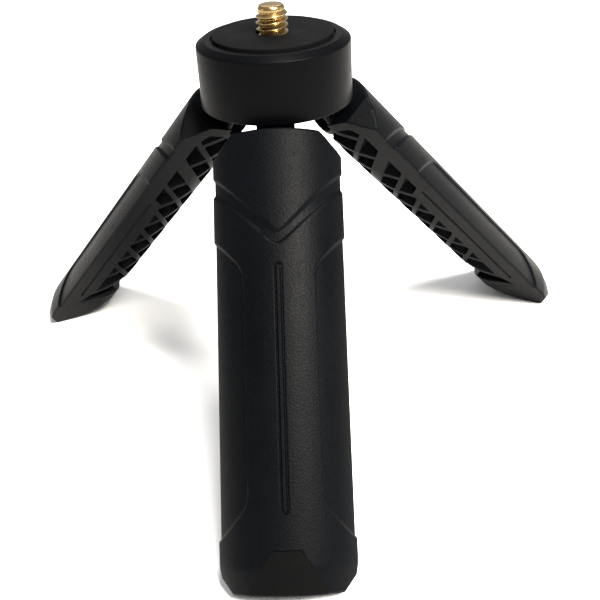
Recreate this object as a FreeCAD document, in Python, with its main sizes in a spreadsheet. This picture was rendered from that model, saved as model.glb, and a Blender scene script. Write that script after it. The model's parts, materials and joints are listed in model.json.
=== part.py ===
# Mini tripod for a table top or the hand: a round head with a camera screw, and three legs that
# hang from a hub inside the head.  Closed, the legs make one round grip.  Open, they stand on
# soles that lie flat on the ground.
#
# Frame: origin on the ground under the head's axis, +Z up, one leg towards -Y.
# Millimetres and degrees.
import FreeCAD, Part
import math
import os
import Sketcher
from FreeCAD import Placement, Rotation, Vector

doc = FreeCAD.newDocument("mini_tripod")

# ---------------------------------------------------------------- driving dimensions
DIMENSIONS = {
    "head_radius": 15.5,
    "head_bottom": 68.0,          # height of the head's lower rim above the ground
    "head_side": 12.25,           # straight side, below the chamfer
    "head_height": 13.25,
    "head_top_radius": 13.95,     # where the chamfer meets the flat top
    "rim_break": 0.3,             # small chamfer on the lower rim
    "cavity_radius": 13.8,
    "cavity_height": 10.2,
    "pad_well_radius": 12.5,
    "pad_well_depth": 0.5,
    "pad_radius": 12.15,
    "pad_top": 13.9,              # above the head's lower rim
    "pad_hole_radius": 3.35,
    "stud_radius": 3.175,         # 1/4 inch camera thread, above the pad
    "shank_radius": 2.8,          # the same screw, through the head and inside the pad
    "collar_height": 0.55,        # shoulder that rests on the head, inside the pad's hole
    "stud_reach": 5.8,            # above the pad
    "stud_tip_radius": 2.0,
    "stud_tip_length": 0.9,
    "stud_tail": 2.4,             # lower end, above the head's lower rim
    "stud_hole_radius": 2.95,     # through the head, the hub, the nut and the washers
    "nut_size": 6.35,             # across corners, halved
    "nut_height": 3.0,
    "lock_washer_radius": 5.2,
    "lock_washer_height": 0.8,
    "lock_washer_split": 0.9,
    "washer_radius": 6.2,
    "washer_height": 0.5,
    "hub_bottom": 7.1,            # underside of the hub's plate, above the rim
    "hub_radius": 13.3,
    "lug_root": 0.5,              # how far the lugs reach into the plate
    "lug_half_width": 1.2,
    "lug_radius": 2.3,
    "screw_circle": 8.6,
    "screw_radius": 1.25,
    "screw_head_radius": 2.2,
    "screw_head_height": 1.4,
    "screw_length": 5.4,
    "screw_socket_radius": 0.9,
    "pivot_radius": 10.5,         # hinge axis from the head's axis
    "pivot_height": 4.09,         # hinge axis above the head's lower rim
    "pivot_above_leg": 7.56,      # hinge axis above the top of the leg's skin
    "open_angle": 41.6,
    "pin_radius": 1.0,
    "pin_play": 0.06,
    "hinge_washer_radius": 2.1,
    "hinge_washer_height": 0.35,
    "ear_outside": 3.7,           # half the width of the neck
    "slot_half_width": 1.65,
    "slot_floor": 4.55,           # above the top of the skin
    "notch_depth": 1.5,           # below it, at the inner edge
    "notch_reach": 6.2,
    "notch_slope": 0.8,
    "boss_radius": 2.4,
    "web_inside": 5.0,            # the web that carries the ears
    "web_outside": 9.5,
    "web_root": 4.0,
    "web_shoulder": 2.55,
    "waist_radius": 6.6,
    "waist_height": 4.6,
    "leg_radius": 14.8,
    "leg_length": 85.3,
    "flank_gap": 0.2,             # each flank stands back from the 120 degree sector
    "truss_nose": 9.5,            # rounding of the inner edge along the truss
    "foot_nose": 6.0,             # and of the foot block
    "foot_start": 70.1,
    "skin": 2.2,
    "top_bevel_start": 8.3,
    "top_bevel_depth": 5.0,
    "top_bevel_slope": 1.08,
    "end_bevel_start": 9.8,
    "end_bevel_depth": 3.8,
    "end_bevel_slope": 0.8,
    "end_taper": 1.1,             # how far the skin draws in at the end
    "end_taper_length": 4.8,
    "truss_crossings": 9,
    "truss_first": -1.4,          # first crossing of the lattice, from the top of the skin
    "truss_pitch": 7.95,
    "truss_slope": 1.1,
    "truss_plate": 1.2,
    "truss_wide_plate": 2.8,
    "window_top": 2.4,
    "window_top_corner": 2.0,
    "window_upper_half": 9.0,
    "window_lower_half": 6.4,
    "window_end_half": 8.6,       # of the last wedges, beside the foot's point
    "window_end_rise": 2.0,
    "window_end_depth": 4.0,
    "window_step_start": 25.5,
    "window_step_end": 29.0,
    "recess_depth": 0.4,
    "band_side": 7.5,             # V-shaped band, upper edge at the flanks
    "band_width": 3.3,
    "band_slope": 1.055,
    "side_recess_inner": 6.84,
    "side_recess_top": 20.4,
    "side_recess_knee": 26.7,
    "side_recess_flare": 69.6,
    "side_recess_end": 76.2,
    "rib_half_width": 0.75,
    "rib_groove": 0.35,
    "rib_top": 26.0,
    "rib_end": 71.2,
    "flank_groove_width": 0.5,
    "flank_groove_depth": 0.6,
    "flank_groove_top": 28.0,
    "flank_groove_end": 70.0,
    "flank_groove_radius": 10.4,
    "pad_start": 77.4,
    "pad_top_half": 3.0,
    "pad_end_half": 7.6,
    "pad_end_edge": 0.6,
    "pad_thickness": 1.3,
    "pad_skin_depth": 1.8,
    "pad_inner_reach": 5.0,
}

sheet = doc.addObject("Spreadsheet::Sheet", "sizes")
for row, (alias, number) in enumerate(DIMENSIONS.items(), start=1):
    sheet.set(f"A{row}", alias)
    sheet.set(f"B{row}", str(number))
    sheet.setAlias(f"B{row}", alias)
doc.recompute()

LEG_AZIMUTHS = {"front": -90.0, "left": 150.0, "right": 30.0}
ROOT_3 = math.sqrt(3.0)
LEAN_OF_BACK = 13.0               # where the ear's back leaves its round end, above level
WIDE_CROSSING = 3                 # index of the lattice's wide pair of plates
BEYOND = 40.0                     # reaches past everything that a cutter has to clear


def size(alias):
    """A driving dimension, read back from the sheet."""
    return float(sheet.get(alias))


def bound(alias_formula):
    """A sheet formula: every alias in it gets the sheet's name in front."""
    words = alias_formula.replace("(", " ( ").replace(")", " ) ").split()
    return " ".join("sizes." + word if word in DIMENSIONS else word for word in words)


def worth(alias_formula):
    """The number that a sheet formula stands for."""
    return float(sheet.evalExpression(bound(alias_formula)))


def bind(item, **formulas):
    """Bind properties of a document object to the sheet."""
    for name, formula in formulas.items():
        item.setExpression(name, bound(formula))


# ---------------------------------------------------------------- PartDesign helpers
def new_body(label):
    body = doc.addObject("PartDesign::Body", label)
    body.Label = label
    return body


def new_sketch(body, name, role, height="0"):
    """A sketch on one of the body's own origin planes, lifted by a sheet formula."""
    plane = [item for item in body.Origin.OriginFeatures if item.Role == role][0]
    sketch = body.newObject("Sketcher::SketchObject", name)
    sketch.AttachmentSupport = (plane, [""])
    sketch.MapMode = "FlatFace"
    sketch.AttachmentOffset = Placement(Vector(0, 0, worth(height)), Rotation())
    sketch.setExpression("AttachmentOffset.Base.z", bound(height))
    return sketch


def fix_point(sketch, item, vertex, x_formula, y_formula):
    """Hold one point of a line or circle at a place given by two sheet formulas."""
    for kind, formula in (("DistanceX", x_formula), ("DistanceY", y_formula)):
        value = worth(formula)
        if value < 0:
            ends = (item, vertex, -1, 1)
            formula = f"-1 * ( {formula} )"
        else:
            ends = (-1, 1, item, vertex)
        index = sketch.addConstraint(Sketcher.Constraint(kind, *ends, abs(value)))
        sketch.setExpression(f"Constraints[{index}]", bound(formula))


def draw_outline(sketch, corners):
    """A closed outline of straight lines through corners given as sheet formulas."""
    points = [Vector(worth(x), worth(y), 0) for x, y in corners]
    count = len(points)
    for index in range(count):
        sketch.addGeometry(Part.LineSegment(points[index], points[(index + 1) % count]), False)
    for index in range(count):
        sketch.addConstraint(Sketcher.Constraint("Coincident", index, 2, (index + 1) % count, 1))
    for index, (x, y) in enumerate(corners):
        fix_point(sketch, index, 1, x, y)


def draw_circle(sketch, x_formula, y_formula, radius_formula):
    middle = Vector(worth(x_formula), worth(y_formula), 0)
    circle = sketch.addGeometry(Part.Circle(middle, Vector(0, 0, 1), worth(radius_formula)), False)
    radius = sketch.addConstraint(Sketcher.Constraint("Radius", circle, worth(radius_formula)))
    sketch.setExpression(f"Constraints[{radius}]", bound(radius_formula))
    fix_point(sketch, circle, 3, x_formula, y_formula)


def revolve(body, name, corners):
    """A turned piece: its half section, in radius and height, swept round the Z axis."""
    sketch = new_sketch(body, name + "_section", "XZ_Plane")
    draw_outline(sketch, corners)
    turned = body.newObject("PartDesign::Revolution", name)
    turned.Profile = sketch
    turned.ReferenceAxis = (sketch, ["V_Axis"])
    turned.Angle = 360.0
    return turned


def extrude(body, kind, name, sketch, length, midplane=False, backwards=False):
    """A Pad or a Pocket of a sketch, its length bound to the sheet."""
    feature = body.newObject("PartDesign::" + kind, name)
    feature.Profile = sketch
    feature.Length = worth(length)
    feature.setExpression("Length", bound(length))
    feature.Midplane = midplane
    feature.Reversed = backwards
    return feature


def three_times(body, name, features):
    """Repeat features at 120 degrees round the Z axis."""
    pattern = body.newObject("PartDesign::PolarPattern", name)
    pattern.Originals = features
    pattern.Axis = ([item for item in body.Origin.OriginFeatures if item.Role == "Z_Axis"][0], [""])
    pattern.Angle = 360.0
    pattern.Occurrences = 3
    body.Tip = pattern
    return pattern


# ---------------------------------------------------------------- pieces of the head
def make_head_shell():
    """Round cap: open below, with a shallow well for the rubber pad on top."""
    body = new_body("head_shell")
    well = "head_height - pad_well_depth"
    revolve(body, "cap", [
        ("cavity_radius", "0"),
        ("head_radius - rim_break", "0"),
        ("head_radius", "rim_break"),
        ("head_radius", "head_side"),
        ("head_top_radius", "head_height"),
        ("pad_well_radius", "head_height"),
        ("pad_well_radius", well),
        ("stud_hole_radius", well),
        ("stud_hole_radius", "cavity_height"),
        ("cavity_radius", "cavity_height"),
    ])
    doc.recompute()
    before = body.Shape.Volume
    sketch = new_sketch(body, "screw_hole_outline", "XY_Plane", "cavity_height")
    draw_circle(sketch, "0", "screw_circle", "screw_radius")
    hole = extrude(body, "Pocket", "screw_hole", sketch,
                   "hub_bottom + screw_length - cavity_height", backwards=True)
    three_times(body, "screw_holes", [hole])
    doc.recompute()
    assert body.Shape.Volume < before - 1.0, "the screw holes cut nothing"
    return body


def make_top_pad():
    """Thin rubber disc that the camera is screwed down on."""
    body = new_body("top_pad")
    floor = "head_height - pad_well_depth"
    revolve(body, "disc", [
        ("pad_hole_radius", floor),
        ("pad_radius", floor),
        ("pad_radius", "pad_top"),
        ("pad_hole_radius", "pad_top"),
    ])
    return body


def make_camera_stud():
    """Camera screw: plain at its thread's outer diameter, on a collar that rests on the head."""
    body = new_body("camera_stud")
    floor = "head_height - pad_well_depth"
    tip = "pad_top + stud_reach"
    revolve(body, "screw", [
        ("0", "stud_tail"),
        ("shank_radius", "stud_tail"),
        ("shank_radius", floor),
        ("stud_radius", floor),
        ("stud_radius", f"{floor} + collar_height"),
        ("shank_radius", f"{floor} + collar_height"),
        ("shank_radius", "pad_top"),
        ("stud_radius", "pad_top"),
        ("stud_radius", f"{tip} - stud_tip_length"),
        ("stud_tip_radius", tip),
        ("0", tip),
    ])
    return body


def make_ring(label, outer, inner, height):
    """A flat washer, standing on the XY plane of its own frame."""
    disc = doc.addObject("Part::Cylinder", label + "_disc")
    bind(disc, Radius=outer, Height=height)
    hole = doc.addObject("Part::Cylinder", label + "_hole")
    bind(hole, Radius=inner, Height=height)
    ring = doc.addObject("Part::Cut", label)
    ring.Base = disc
    ring.Tool = hole
    ring.Label = label
    return ring


def make_stud_nut():
    """Hexagon nut that pulls the camera screw down on the hub."""
    block = doc.addObject("Part::Prism", "nut_block")
    block.Polygon = 6
    bind(block, Circumradius="nut_size", Height="nut_height")
    hole = doc.addObject("Part::Cylinder", "nut_hole")
    bind(hole, Radius="stud_hole_radius", Height="nut_height")
    nut = doc.addObject("Part::Cut", "stud_nut")
    nut.Base = block
    nut.Tool = hole
    nut.Label = "stud_nut"
    return nut


def make_lock_washer():
    """Split spring washer between the nut and the flat washer."""
    ring = make_ring("lock_ring", "lock_washer_radius", "stud_hole_radius", "lock_washer_height")
    split = doc.addObject("Part::Box", "lock_split")
    bind(split, Length="lock_washer_radius", Width="lock_washer_split", Height="lock_washer_height")
    washer = doc.addObject("Part::Cut", "stud_lock_washer")
    washer.Base = ring
    washer.Tool = split
    washer.Label = "stud_lock_washer"
    return washer


def make_hub():
    """Round plate under the head's top, with one hinge lug for each leg."""
    body = new_body("hub")
    plate = new_sketch(body, "plate_outline", "XY_Plane", "hub_bottom")
    draw_circle(plate, "0", "0", "hub_radius")
    draw_circle(plate, "0", "0", "stud_hole_radius")
    extrude(body, "Pad", "plate", plate, "cavity_height - hub_bottom")

    side = new_sketch(body, "lug_outline", "YZ_Plane")
    root = "hub_bottom + lug_root"
    flank = f"pivot_height - lug_radius * {ROOT_3 / 2:.4f}"
    draw_outline(side, [
        ("-1 * pivot_radius - lug_radius", root),
        ("-1 * pivot_radius - lug_radius", "pivot_height"),
        ("-1 * pivot_radius - lug_radius / 2", flank),
        ("-1 * pivot_radius + lug_radius / 2", flank),
        ("-1 * pivot_radius + lug_radius", "pivot_height"),
        ("-1 * pivot_radius + lug_radius", root),
    ])
    lug = extrude(body, "Pad", "lug", side, "lug_half_width * 2", midplane=True)
    doc.recompute()
    before = body.Shape.Volume
    bore = new_sketch(body, "bore_outline", "YZ_Plane")
    draw_circle(bore, "-1 * pivot_radius", "pivot_height", "pin_radius + pin_play")
    pin_bore = extrude(body, "Pocket", "pin_bore", bore, "lug_half_width * 3", midplane=True)
    doc.recompute()
    assert body.Shape.Volume < before - 1.0, "the pin's bore cut nothing"
    three_times(body, "lugs", [lug, pin_bore])

    doc.recompute()
    before = body.Shape.Volume
    screw = new_sketch(body, "screw_outline", "XY_Plane", "hub_bottom")
    draw_circle(screw, "0", "screw_circle", "screw_radius")
    hole = extrude(body, "Pocket", "screw_hole", screw, "cavity_height - hub_bottom", backwards=True)
    three_times(body, "screw_holes", [hole])
    doc.recompute()
    assert body.Shape.Volume < before - 1.0, "the hub's screw holes cut nothing"
    return body


def make_hub_screws():
    """Three pan head screws with hexagon sockets, put in from below."""
    screws = []
    for index in range(3):
        shank = doc.addObject("Part::Cylinder", f"screw_shank_{index}")
        bind(shank, Radius="screw_radius", Height="screw_length")
        cap = doc.addObject("Part::Cylinder", f"screw_cap_{index}")
        bind(cap, Radius="screw_head_radius", Height="screw_head_height")
        cap.Placement.Base.z = -size("screw_head_height")
        cap.setExpression("Placement.Base.z", bound("-1 * screw_head_height"))
        socket = doc.addObject("Part::Prism", f"screw_socket_{index}")
        socket.Polygon = 6
        bind(socket, Circumradius="screw_socket_radius", Height="screw_head_height / 2")
        socket.setExpression("Placement.Base.z", bound("-1 * screw_head_height"))
        whole = doc.addObject("Part::Fuse", f"screw_blank_{index}")
        whole.Base = shank
        whole.Tool = cap
        screw = doc.addObject("Part::Cut", f"screw_{index}")
        screw.Base = whole
        screw.Tool = socket
        turn = Rotation(Vector(0, 0, 1), 120.0 * index)
        place = turn.multVec(Vector(0, size("screw_circle"), size("hub_bottom")))
        screw.Placement = Placement(place, turn)
        screws.append(screw)
    group = doc.addObject("Part::MultiFuse", "hub_screws")
    group.Shapes = screws
    group.Label = "hub_screws"
    return group


# ---------------------------------------------------------------- the legs
# A leg is drawn closed, in its own frame: X outward from the grip's axis, Y along the skin, and
# Z up, with zero at the top of the skin.  "Down" below is the distance below that top.
def prism_outward(points, near=-BEYOND, far=BEYOND):
    """Extrude an outline of (across, down) points along X."""
    corners = [Vector(near, across, -down) for across, down in points]
    face = Part.Face(Part.makePolygon(corners + corners[:1]))
    return face.extrude(Vector(far - near, 0, 0))


def prism_across(points, half_width):
    """Extrude an outline of (outward, up) points along Y, to both sides."""
    corners = [Vector(outward, -half_width, up) for outward, up in points]
    face = Part.Face(Part.makePolygon(corners + corners[:1]))
    return face.extrude(Vector(0, 2 * half_width, 0))


def post(radius, top, bottom, outward=0.0):
    """An upright cylinder between two depths."""
    return Part.makeCylinder(radius, bottom - top, Vector(outward, 0, -bottom))


def cross_rod(radius, half_width):
    """A cylinder along Y, round the hinge axis."""
    start = Vector(size("pivot_radius"), -half_width, size("pivot_above_leg"))
    return Part.makeCylinder(radius, 2 * half_width, start, Vector(0, 1, 0))


def sector(nose, top, bottom):
    """A third of the grip: round skin, two flat flanks, and a rounded inner edge."""
    radius = size("leg_radius")
    gap = size("flank_gap")
    edge = math.radians(60) - math.asin(gap / radius)
    centre = (nose + gap) * 2 / ROOT_3
    touch_x = centre - nose * ROOT_3 / 2
    touch_y = nose / 2
    corner_x = radius * math.cos(edge)
    corner_y = radius * math.sin(edge)
    level = -bottom
    outer = [Vector(corner_x, corner_y, level), Vector(radius, 0, level),
             Vector(corner_x, -corner_y, level)]
    inner = [Vector(touch_x, -touch_y, level), Vector(centre - nose, 0, level),
             Vector(touch_x, touch_y, level)]
    wire = Part.Wire([
        Part.Arc(*outer).toShape(),
        Part.LineSegment(outer[2], inner[0]).toShape(),
        Part.Arc(*inner).toShape(),
        Part.LineSegment(inner[2], outer[0]).toShape(),
    ])
    return Part.Face(wire).extrude(Vector(0, 0, bottom - top))


def sole_cut():
    """Everything below the ground when the leg is open, in the leg's own frame."""
    angle = math.radians(size("open_angle"))
    outward = -size("pivot_radius")
    drop = size("head_bottom") + size("pivot_height")
    # One point of the ground line, then the line's direction: both turned back by the angle.
    start_x = outward * math.cos(angle) - drop * math.sin(angle) + size("pivot_radius")
    start_z = -outward * math.sin(angle) - drop * math.cos(angle) + size("pivot_above_leg")
    along = (math.cos(angle), -math.sin(angle))
    below = (-math.sin(angle), -math.cos(angle))
    reach = 3 * size("leg_length")
    corners = [(start_x - reach * along[0], start_z - reach * along[1]),
               (start_x + reach * along[0], start_z + reach * along[1])]
    corners += [(x + BEYOND * below[0], z + BEYOND * below[1]) for x, z in reversed(corners)]
    return prism_across(corners, BEYOND)


def end_taper():
    """What the skin's taper takes away round the end of the foot."""
    radius = size("leg_radius")
    length = size("leg_length")
    start = length - size("end_taper_length")
    cone = Part.makeCone(radius, radius - size("end_taper"), length - start,
                         Vector(0, 0, -start), Vector(0, 0, -1))
    return post(2 * radius, start, length).cut(cone)


def blank_leg():
    """The leg's outer form with its foot, before windows and recesses."""
    length = size("leg_length")
    blank = sector(size("truss_nose"), 0, size("foot_start"))
    blank = blank.fuse(sector(size("foot_nose"), size("foot_start"), length))
    cuts = [sole_cut(), end_taper()]
    for side in (-1, 1):
        bevel = size("top_bevel_start")
        depth = size("top_bevel_depth")
        widest = bevel + size("top_bevel_slope") * depth
        cuts.append(prism_outward([
            (side * bevel, 0), (side * widest, depth),
            (side * BEYOND, depth), (side * BEYOND, -BEYOND), (side * bevel, -BEYOND)]))
        start = size("end_bevel_start")
        rise = size("end_bevel_depth")
        widest = start + size("end_bevel_slope") * rise
        cuts.append(prism_outward([
            (side * start, length), (side * widest, length - rise),
            (side * BEYOND, length - rise), (side * BEYOND, length + BEYOND),
            (side * start, length + BEYOND)]))
    return blank.cut(cuts)


def window_room():
    """The room inside the truss: open to the inner edge, closed by the skin."""
    wide = size("window_upper_half")
    narrow = size("window_lower_half")
    top = size("window_top")
    corner = size("window_top_corner")
    neck_side = size("ear_outside")
    end = size("foot_start")
    right = [
        (neck_side, top + corner),
        (neck_side + corner / 2, top),
        (wide - corner, top),
        (wide, top + 1.5 * corner),
        (wide, size("window_step_start")),
        (narrow, size("window_step_end")),
        (narrow, end - size("window_end_rise")),
        (size("window_end_half"), end + size("window_end_depth")),
    ]
    left = [(-across, down) for across, down in reversed(right)]
    room = prism_outward(right + [(0, end)] + left)
    return room.common(post(size("leg_radius") - size("skin"), 0, end + BEYOND))


def lattice():
    """Crossing plates, each pair meeting on the middle of the leg."""
    slope = size("truss_slope")
    reach = size("leg_radius")
    plates = []
    for index in range(int(size("truss_crossings"))):
        middle = size("truss_first") + size("truss_pitch") * index
        thickness = size("truss_wide_plate") if index == WIDE_CROSSING else size("truss_plate")
        half = thickness / 2 * math.hypot(1, slope)
        for side in (-1, 1):
            plates.append(prism_outward([
                (-side * reach, middle - slope * reach - half),
                (side * reach, middle + slope * reach - half),
                (side * reach, middle + slope * reach + half),
                (-side * reach, middle - slope * reach + half)]))
    return plates


def skin_recesses():
    """Shallow V-shaped band, side fields and middle rib on the skin."""
    slope = size("band_slope")
    edge = size("leg_radius") * ROOT_3 / 2
    band_top = size("band_side") + slope * edge
    reach = size("leg_radius")
    width = size("band_width")
    blocks = []
    for side in (-1, 1):
        blocks.append(prism_outward([
            (0, band_top), (side * reach, band_top - slope * reach),
            (side * reach, band_top - slope * reach + width), (0, band_top + width)], near=0))
        inner = size("side_recess_inner")
        blocks.append(prism_outward([
            (side * inner, size("side_recess_knee")),
            (side * inner, size("side_recess_flare")),
            (side * edge, size("side_recess_end")), (side * reach, size("side_recess_end")),
            (side * reach, size("side_recess_top")), (side * edge, size("side_recess_top"))],
            near=0))
        rib = size("rib_half_width")
        groove = size("rib_groove")
        blocks.append(prism_outward([
            (side * rib, size("rib_top")), (side * rib, size("rib_end")),
            (side * (rib - groove), size("rib_end")), (side * (rib - groove), size("rib_top"))],
            near=0))
    length = size("leg_length")
    ring = post(size("leg_radius") + 1, 0, length).cut(
        post(size("leg_radius") - size("recess_depth"), -1, length + 1))
    return [block.common(ring) for block in blocks]


def flank_grooves():
    """A thin straight groove on each flank."""
    top = size("flank_groove_top")
    length = size("flank_groove_end") - top
    width = size("flank_groove_width")
    depth = size("flank_groove_depth") + size("flank_gap")
    grooves = []
    for side in (-1, 1):
        groove = Part.makeBox(width, 2 * depth, length,
                              Vector(size("flank_groove_radius"), -depth, -top - length))
        groove.rotate(Vector(0, 0, 0), Vector(0, 0, 1), side * 60.0)
        grooves.append(groove)
    return grooves


def neck():
    """Two ears on a short web, up to the hinge."""
    pivot = size("pivot_radius")
    height = size("pivot_above_leg")
    boss = size("boss_radius")
    angle = math.radians(size("open_angle"))
    touch = (pivot + boss * math.cos(angle), height - boss * math.sin(angle))
    inside = size("web_inside")
    outside = size("web_outside")
    root = -size("web_root")
    back_angle = math.radians(LEAN_OF_BACK)
    back = (pivot - boss * math.cos(back_angle), height + boss * math.sin(back_angle))
    side = prism_across([
        (inside, root), (outside, root), (outside, size("web_shoulder")), touch, (pivot, height),
        back, (size("waist_radius"), size("waist_height")), (inside, 0.0)],
        size("ear_outside"))
    return side.fuse(cross_rod(boss, size("ear_outside")))


def hinge_slot():
    """Room for the hub's lug between the ears, and a notch at the inner edge."""
    half_width = size("slot_half_width")
    floor = size("slot_floor")
    upper = prism_across([(-BEYOND, floor), (BEYOND, floor), (BEYOND, BEYOND), (-BEYOND, BEYOND)],
                         half_width)
    reach = size("notch_reach")
    depth = size("notch_depth")
    notch = prism_across([
        (-BEYOND, -depth), (reach - size("notch_slope"), -depth), (reach, 0.0),
        (reach, floor), (-BEYOND, floor)], half_width)
    return [upper, notch]


def foot_pad_shape(blank):
    """Rubber inlay at the end of the leg: on the skin and over the end."""
    start = size("pad_start")
    length = size("leg_length")
    top_half = size("pad_top_half")
    end_half = size("pad_end_half")
    thickness = size("pad_thickness")
    corner = length - size("pad_end_edge")
    outline = [(-top_half, start), (top_half, start), (end_half, corner),
               (end_half, length + BEYOND), (-end_half, length + BEYOND), (-end_half, corner)]
    wedge = prism_outward(outline, near=size("pad_inner_reach"))
    core = post(size("leg_radius") - size("pad_skin_depth"), 0, length - thickness)
    return blank.common(wedge).cut(core)


def leg_shape(blank, pad):
    """The whole leg, without its foot pad."""
    room = window_room()
    frame = blank.cut([room] + skin_recesses() + flank_grooves())
    inside = room.common(blank)
    ribs = [plate.common(inside) for plate in lattice()]
    whole = frame.fuse(ribs + [neck()])
    whole = whole.cut(hinge_slot() + [cross_rod(size("pin_radius"), BEYOND), pad.copy()])
    return max(whole.removeSplitter().Solids, key=lambda solid: solid.Volume)


def leg_place(azimuth):
    """Where the leg's own frame lies when the leg is open."""
    pivot = Vector(size("pivot_radius"), 0, size("pivot_above_leg"))
    opening = Rotation(Vector(0, 1, 0), -size("open_angle"))
    height = size("head_bottom") + size("pivot_height")
    hinge = Vector(size("pivot_radius"), 0, height)
    opened = Placement(hinge - opening.multVec(pivot), opening)
    turned = Placement(Vector(0, 0, 0), Rotation(Vector(0, 0, 1), azimuth))
    return turned.multiply(opened)


def add_shape(label, shape, place):
    item = doc.addObject("Part::Feature", label)
    item.Label = label
    item.Shape = shape
    item.Placement = place
    return item


def make_hinge_pin(name, place):
    """Steel pin through both ears and the lug."""
    pin = doc.addObject("Part::Cylinder", "hinge_pin_" + name)
    pin.Label = "hinge_pin_" + name
    bind(pin, Radius="pin_radius", Height="ear_outside * 2")
    start = Vector(size("pivot_radius"), size("ear_outside"), size("pivot_above_leg"))
    pin.Placement = place.multiply(Placement(start, Rotation(Vector(1, 0, 0), 90)))
    return pin


def make_hinge_washers(name, place):
    """One thin washer on each side of the lug."""
    rings = []
    for side in (-1, 1):
        ring = make_ring(f"hinge_ring_{name}_{side + 1}", "hinge_washer_radius",
                         "pin_radius", "hinge_washer_height")
        inner = size("slot_half_width") - size("hinge_washer_height")
        start = inner + size("hinge_washer_height") if side > 0 else -inner
        middle = Vector(size("pivot_radius"), start, size("pivot_above_leg"))
        ring.Placement = Placement(middle, Rotation(Vector(1, 0, 0), 90))
        rings.append(ring)
    pair = doc.addObject("Part::MultiFuse", "hinge_washers_" + name)
    pair.Label = "hinge_washers_" + name
    pair.Shapes = rings
    pair.Placement = place
    return pair


# ---------------------------------------------------------------- assembly
def build():
    """Every piece of the tripod, open and standing on the ground."""
    head_pieces = [make_head_shell(), make_top_pad(), make_camera_stud(), make_hub(),
                   make_hub_screws()]
    nut = make_stud_nut()
    lock = make_lock_washer()
    washer = make_ring("stud_washer", "washer_radius", "stud_hole_radius", "washer_height")
    heights = {
        washer: "hub_bottom - washer_height",
        lock: "hub_bottom - washer_height - lock_washer_height",
        nut: "hub_bottom - washer_height - lock_washer_height - nut_height",
    }
    for piece in head_pieces:
        piece.setExpression("Placement.Base.z", bound("head_bottom"))
    for piece, formula in heights.items():
        piece.setExpression("Placement.Base.z", bound("head_bottom + " + formula))

    pieces = head_pieces + list(heights)
    blank = blank_leg()
    pad = foot_pad_shape(blank)
    leg = leg_shape(blank, pad)
    for name, azimuth in LEG_AZIMUTHS.items():
        place = leg_place(azimuth)
        pieces.append(add_shape("leg_" + name, leg, place))
        pieces.append(add_shape("foot_pad_" + name, pad, place))
        pieces.append(make_hinge_pin(name, place))
        pieces.append(make_hinge_washers(name, place))
    return pieces


def check(pieces):
    """Stop before writing if any object failed or any piece isn't a sound solid."""
    doc.recompute()
    for item in doc.Objects:
        state = set(item.State)
        assert not state & {"Invalid", "Error"}, f"{item.Name} is {state}"
    for piece in pieces:
        shape = piece.Shape
        assert not shape.isNull() and shape.isValid(), f"{piece.Label} isn't a sound shape"
        assert shape.Solids, f"{piece.Label} holds no solid"
        print(f"{piece.Label}: {len(shape.Solids)} solid(s), {shape.Volume:.1f} mm3")


sub_parts = build()
check(sub_parts)
os.makedirs("parts", exist_ok=True)
for sub_part in sub_parts:
    sub_part.Shape.exportStep(f"parts/{sub_part.Label}.step")
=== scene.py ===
import json
import math

import bmesh
import bpy
from bpy.props import FloatProperty, FloatVectorProperty, IntProperty, PointerProperty
from mathutils import Matrix, Vector


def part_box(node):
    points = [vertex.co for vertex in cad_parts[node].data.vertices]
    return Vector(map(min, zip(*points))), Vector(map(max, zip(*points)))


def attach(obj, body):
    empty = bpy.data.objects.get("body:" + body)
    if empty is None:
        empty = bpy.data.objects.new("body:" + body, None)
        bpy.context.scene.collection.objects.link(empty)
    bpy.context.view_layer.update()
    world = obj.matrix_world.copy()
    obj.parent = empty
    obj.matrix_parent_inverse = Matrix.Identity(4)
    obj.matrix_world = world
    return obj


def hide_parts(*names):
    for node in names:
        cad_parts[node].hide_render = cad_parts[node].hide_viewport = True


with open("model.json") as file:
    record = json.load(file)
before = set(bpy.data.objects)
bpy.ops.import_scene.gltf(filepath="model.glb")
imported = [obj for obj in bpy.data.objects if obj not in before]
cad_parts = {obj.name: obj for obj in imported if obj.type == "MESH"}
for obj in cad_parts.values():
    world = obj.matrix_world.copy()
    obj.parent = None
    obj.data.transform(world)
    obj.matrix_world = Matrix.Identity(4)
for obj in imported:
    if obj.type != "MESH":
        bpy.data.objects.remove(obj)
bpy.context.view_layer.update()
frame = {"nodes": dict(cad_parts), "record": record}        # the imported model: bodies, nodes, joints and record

bl_info = {
    "name": "Mini Tripod",
    "version": (1, 0, 0),
    "blender": (4, 5, 0),
    "location": "View3D > Sidebar > Tripod",
    "description": "Builds the head, camera stud, legs and feet of a small table tripod",
    "category": "Object",
}

MM = 0.001
HINGES = {joint["child"]: joint for joint in frame["record"]["behaviour"]["joints"]}
LEG_NAMES = ("front", "left", "right")
SIN_60 = math.sin(math.radians(60))
COS_60 = 0.5
MERGE = 1e-4             # points nearer than this, in a part's own unit of length, are one
SLIVER = 1e-5


# ------------------------------------------------------------------------------- settings
def length(name, description, millimetres):
    """A length that shows in the scene's own unit."""
    return FloatProperty(name=name, description=description, default=millimetres * MM,
                         min=0.0, subtype="DISTANCE", unit="LENGTH", precision=5)


def colour(name, description, value):
    return FloatVectorProperty(name=name, description=description, default=value,
                               size=4, min=0.0, max=1.0, subtype="COLOR")


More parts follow.
